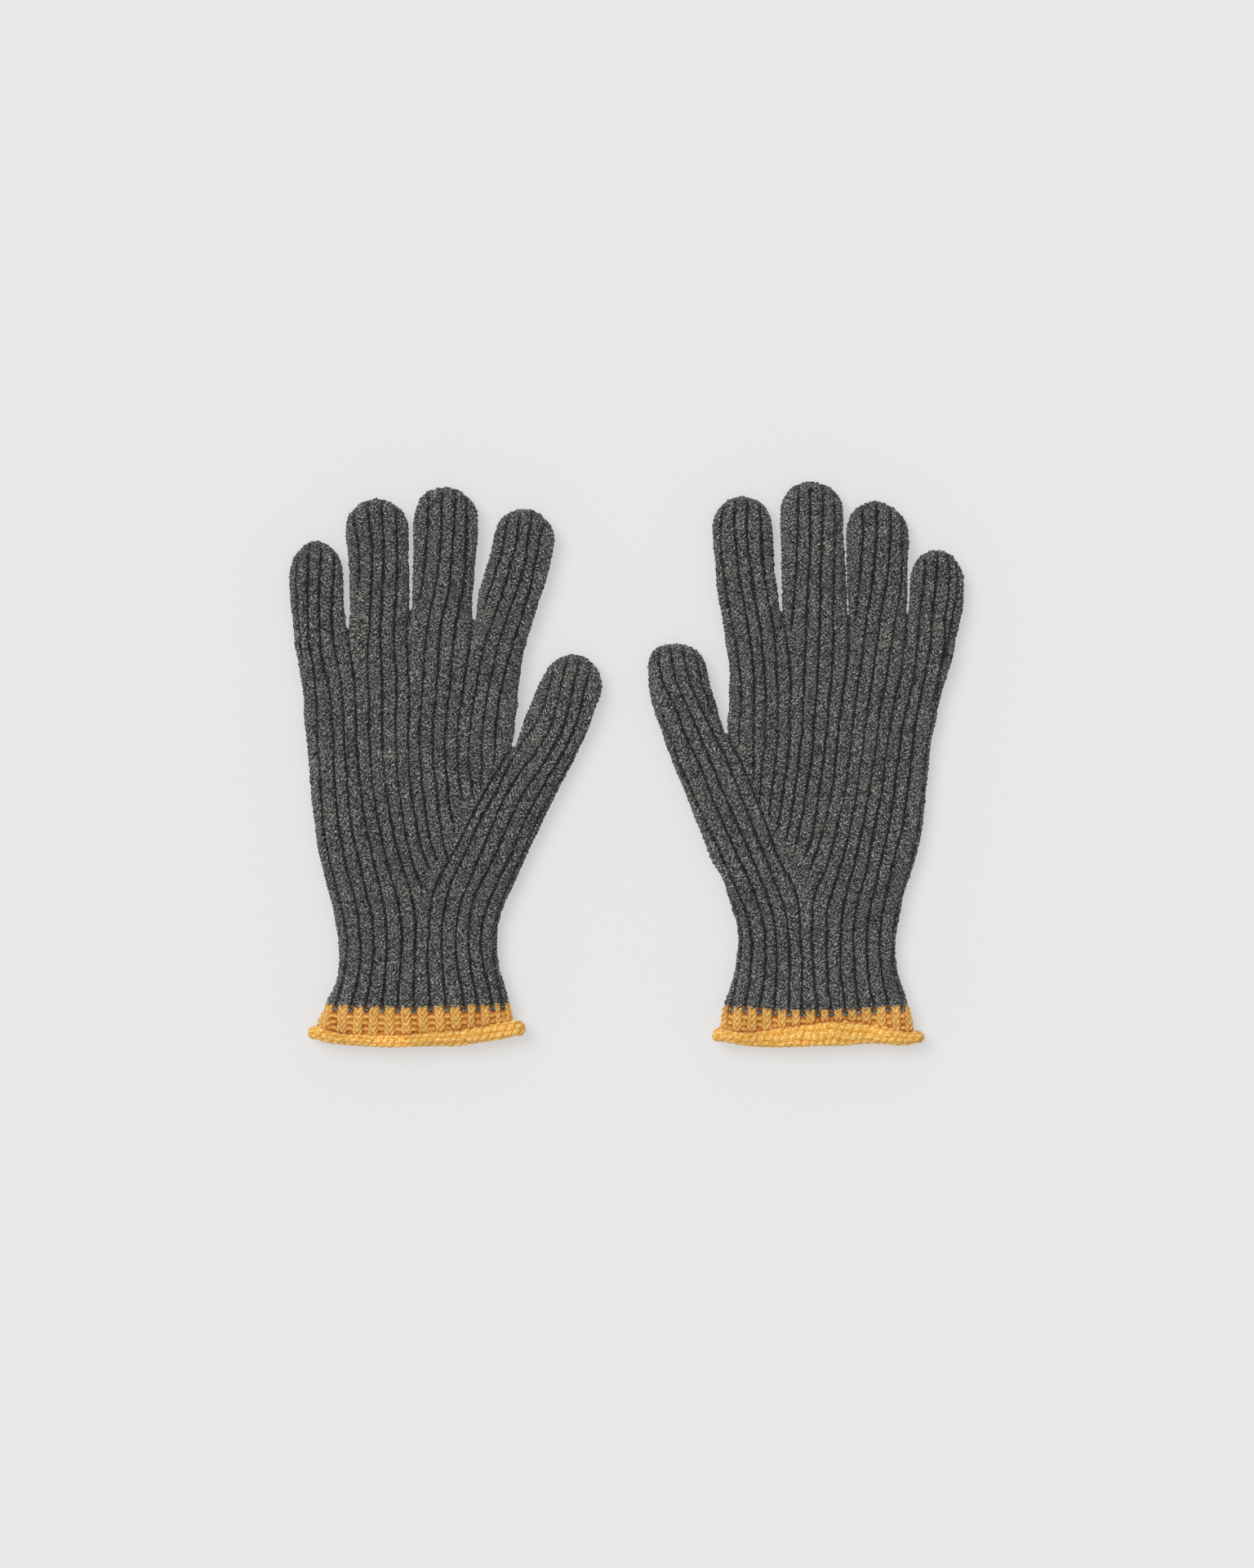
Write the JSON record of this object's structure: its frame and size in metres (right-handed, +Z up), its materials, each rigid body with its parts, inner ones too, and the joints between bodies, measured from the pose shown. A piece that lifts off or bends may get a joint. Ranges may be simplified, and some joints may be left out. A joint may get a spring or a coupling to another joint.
{
  "type": "knitted gloves",
  "caption": "Pair of ribbed knitted gloves lying flat, grey with a contrast cuff band and rolled edge, fingers and thumbs that fold.",
  "frame": {"origin": "on the surface that the gloves lie on, under the middle of the pair's box", "axes": "+Y towards the fingertips, +X from the left-hand glove of the laid-out pair to the right-hand one, +Z up out of the surface"},
  "size_m": [0.2901, 0.2428, 0.01],
  "materials": {
    "grey_wool": "melange wool yarn in one-by-one rib, soft and fuzzy, no gloss",
    "yellow_wool": "golden yellow wool yarn, ribbed band and rolled edge, soft, no gloss"
  },
  "bodies": {
    "left_cuff": {"left_rolled_edge": "yellow_wool", "left_cuff_band": "yellow_wool", "left_wrist_rib": "grey_wool"},
    "left_palm": {"left_hand": "grey_wool", "left_thumb_gusset": "grey_wool"},
    "left_thumb_lower": {"left_thumb_base": "grey_wool"},
    "left_thumb_upper": {"left_thumb_tip": "grey_wool"},
    "left_index_lower": {"left_index_base": "grey_wool"},
    "left_index_centre": {"left_index_middle": "grey_wool"},
    "left_index_upper": {"left_index_tip": "grey_wool"},
    "left_middle_lower": {"left_middle_base": "grey_wool"},
    "left_middle_centre": {"left_middle_middle": "grey_wool"},
    "left_middle_upper": {"left_middle_tip": "grey_wool"},
    "left_ring_lower": {"left_ring_base": "grey_wool"},
    "left_ring_centre": {"left_ring_middle": "grey_wool"},
    "left_ring_upper": {"left_ring_tip": "grey_wool"},
    "left_little_lower": {"left_little_base": "grey_wool"},
    "left_little_centre": {"left_little_middle": "grey_wool"},
    "left_little_upper": {"left_little_tip": "grey_wool"},
    "right_cuff": {"right_rolled_edge": "yellow_wool", "right_cuff_band": "yellow_wool", "right_wrist_rib": "grey_wool"},
    "right_palm": {"right_hand": "grey_wool", "right_thumb_gusset": "grey_wool"},
    "right_thumb_lower": {"right_thumb_base": "grey_wool"},
    "right_thumb_upper": {"right_thumb_tip": "grey_wool"},
    "right_index_lower": {"right_index_base": "grey_wool"},
    "right_index_centre": {"right_index_middle": "grey_wool"},
    "right_index_upper": {"right_index_tip": "grey_wool"},
    "right_middle_lower": {"right_middle_base": "grey_wool"},
    "right_middle_centre": {"right_middle_middle": "grey_wool"},
    "right_middle_upper": {"right_middle_tip": "grey_wool"},
    "right_ring_lower": {"right_ring_base": "grey_wool"},
    "right_ring_centre": {"right_ring_middle": "grey_wool"},
    "right_ring_upper": {"right_ring_tip": "grey_wool"},
    "right_little_lower": {"right_little_base": "grey_wool"},
    "right_little_centre": {"right_little_middle": "grey_wool"},
    "right_little_upper": {"right_little_tip": "grey_wool"}
  },
  "joints": [
    {"name": "left_wrist", "type": "hinge", "parent": "left_cuff", "child": "left_palm", "pos_m": [-0.0896, -0.074, 0.005], "axis": [1, 0, 0], "range_deg": [0, 60]},
    {"name": "left_thumb_root", "type": "hinge", "parent": "left_palm", "child": "left_thumb_lower", "pos_m": [-0.0338, 0.0107, 0.005], "axis": [0.9205, -0.3907, 0], "range_deg": [0, 60]},
    {"name": "left_thumb_end", "type": "hinge", "parent": "left_thumb_lower", "child": "left_thumb_upper", "pos_m": [-0.02638, 0.02819, 0.005], "axis": [0.9205, -0.3907, 0], "range_deg": [0, 80]},
    {"name": "left_index_root", "type": "hinge", "parent": "left_palm", "child": "left_index_lower", "pos_m": [-0.0516, 0.0695, 0.005], "axis": [1, 0, 0], "range_deg": [0, 80]},
    {"name": "left_index_mid", "type": "hinge", "parent": "left_index_lower", "child": "left_index_centre", "pos_m": [-0.04758, 0.0845, 0.005], "axis": [1, 0, 0], "range_deg": [0, 90]},
    {"name": "left_index_end", "type": "hinge", "parent": "left_index_centre", "child": "left_index_upper", "pos_m": [-0.04396, 0.098, 0.005], "axis": [1, 0, 0], "range_deg": [0, 54]},
    {"name": "left_middle_root", "type": "hinge", "parent": "left_palm", "child": "left_middle_lower", "pos_m": [-0.0793, 0.0745, 0.005], "axis": [1, 0, 0], "range_deg": [0, 80]},
    {"name": "left_middle_mid", "type": "hinge", "parent": "left_middle_lower", "child": "left_middle_centre", "pos_m": [-0.07849, 0.091, 0.005], "axis": [1, 0, 0], "range_deg": [0, 90]},
    {"name": "left_middle_end", "type": "hinge", "parent": "left_middle_centre", "child": "left_middle_upper", "pos_m": [-0.07781, 0.105, 0.005], "axis": [1, 0, 0], "range_deg": [0, 54]},
    {"name": "left_ring_root", "type": "hinge", "parent": "left_palm", "child": "left_ring_lower", "pos_m": [-0.1064, 0.0745, 0.005], "axis": [1, 0, 0], "range_deg": [0, 80]},
    {"name": "left_ring_mid", "type": "hinge", "parent": "left_ring_lower", "child": "left_ring_centre", "pos_m": [-0.10694, 0.09, 0.005], "axis": [1, 0, 0], "range_deg": [0, 90]},
    {"name": "left_ring_end", "type": "hinge", "parent": "left_ring_centre", "child": "left_ring_upper", "pos_m": [-0.1074, 0.103, 0.005], "axis": [1, 0, 0], "range_deg": [0, 54]},
    {"name": "left_little_root", "type": "hinge", "parent": "left_palm", "child": "left_little_lower", "pos_m": [-0.1328, 0.066, 0.005], "axis": [1, 0, 0], "range_deg": [0, 75]},
    {"name": "left_little_mid", "type": "hinge", "parent": "left_little_lower", "child": "left_little_centre", "pos_m": [-0.13309, 0.077, 0.005], "axis": [1, 0, 0], "range_deg": [0, 85]},
    {"name": "left_little_end", "type": "hinge", "parent": "left_little_centre", "child": "left_little_upper", "pos_m": [-0.13335, 0.087, 0.005], "axis": [1, 0, 0], "range_deg": [0, 51]},
    {"name": "right_glove_apart", "type": "slide", "parent": "left_cuff", "child": "right_cuff", "axis": [1, 0, 0], "range_m": [0, 0.12]},
    {"name": "right_wrist", "type": "hinge", "parent": "right_cuff", "child": "right_palm", "pos_m": [0.0817, -0.074, 0.005], "axis": [1, 0, 0], "range_deg": [0, 60]},
    {"name": "right_thumb_root", "type": "hinge", "parent": "right_palm", "child": "right_thumb_lower", "pos_m": [0.0288, 0.0175, 0.005], "axis": [0.9511, 0.309, 0], "range_deg": [0, 60]},
    {"name": "right_thumb_end", "type": "hinge", "parent": "right_thumb_lower", "child": "right_thumb_upper", "pos_m": [0.02355, 0.03367, 0.005], "axis": [0.9511, 0.309, 0], "range_deg": [0, 80]},
    {"name": "right_index_root", "type": "hinge", "parent": "right_palm", "child": "right_index_lower", "pos_m": [0.0518, 0.0745, 0.005], "axis": [1, 0, 0], "range_deg": [0, 80]},
    {"name": "right_index_mid", "type": "hinge", "parent": "right_index_lower", "child": "right_index_centre", "pos_m": [0.05072, 0.09, 0.005], "axis": [1, 0, 0], "range_deg": [0, 90]},
    {"name": "right_index_end", "type": "hinge", "parent": "right_index_centre", "child": "right_index_upper", "pos_m": [0.04981, 0.103, 0.005], "axis": [1, 0, 0], "range_deg": [0, 54]},
    {"name": "right_middle_root", "type": "hinge", "parent": "right_palm", "child": "right_middle_lower", "pos_m": [0.0794, 0.0745, 0.005], "axis": [1, 0, 0], "range_deg": [0, 80]},
    {"name": "right_middle_mid", "type": "hinge", "parent": "right_middle_lower", "child": "right_middle_centre", "pos_m": [0.0794, 0.0915, 0.005], "axis": [1, 0, 0], "range_deg": [0, 90]},
    {"name": "right_middle_end", "type": "hinge", "parent": "right_middle_centre", "child": "right_middle_upper", "pos_m": [0.0794, 0.1065, 0.005], "axis": [1, 0, 0], "range_deg": [0, 54]},
    {"name": "right_ring_root", "type": "hinge", "parent": "right_palm", "child": "right_ring_lower", "pos_m": [0.1072, 0.0695, 0.005], "axis": [1, 0, 0], "range_deg": [0, 80]},
    {"name": "right_ring_mid", "type": "hinge", "parent": "right_ring_lower", "child": "right_ring_centre", "pos_m": [0.10746, 0.0845, 0.005], "axis": [1, 0, 0], "range_deg": [0, 90]},
    {"name": "right_ring_end", "type": "hinge", "parent": "right_ring_centre", "child": "right_ring_upper", "pos_m": [0.10772, 0.099, 0.005], "axis": [1, 0, 0], "range_deg": [0, 54]},
    {"name": "right_little_root", "type": "hinge", "parent": "right_palm", "child": "right_little_lower", "pos_m": [0.1334, 0.064, 0.005], "axis": [1, 0, 0], "range_deg": [0, 75]},
    {"name": "right_little_mid", "type": "hinge", "parent": "right_little_lower", "child": "right_little_centre", "pos_m": [0.1334, 0.074, 0.005], "axis": [1, 0, 0], "range_deg": [0, 85]},
    {"name": "right_little_end", "type": "hinge", "parent": "right_little_centre", "child": "right_little_upper", "pos_m": [0.1334, 0.0835, 0.005], "axis": [1, 0, 0], "range_deg": [0, 51]}
  ],
  "couplings": [
    {"joint": "left_index_end", "follows": "left_index_mid", "ratio": 0.6},
    {"joint": "left_middle_end", "follows": "left_middle_mid", "ratio": 0.6},
    {"joint": "left_ring_end", "follows": "left_ring_mid", "ratio": 0.6},
    {"joint": "left_little_end", "follows": "left_little_mid", "ratio": 0.6},
    {"joint": "right_index_end", "follows": "right_index_mid", "ratio": 0.6},
    {"joint": "right_middle_end", "follows": "right_middle_mid", "ratio": 0.6},
    {"joint": "right_ring_end", "follows": "right_ring_mid", "ratio": 0.6},
    {"joint": "right_little_end", "follows": "right_little_mid", "ratio": 0.6}
  ]
}
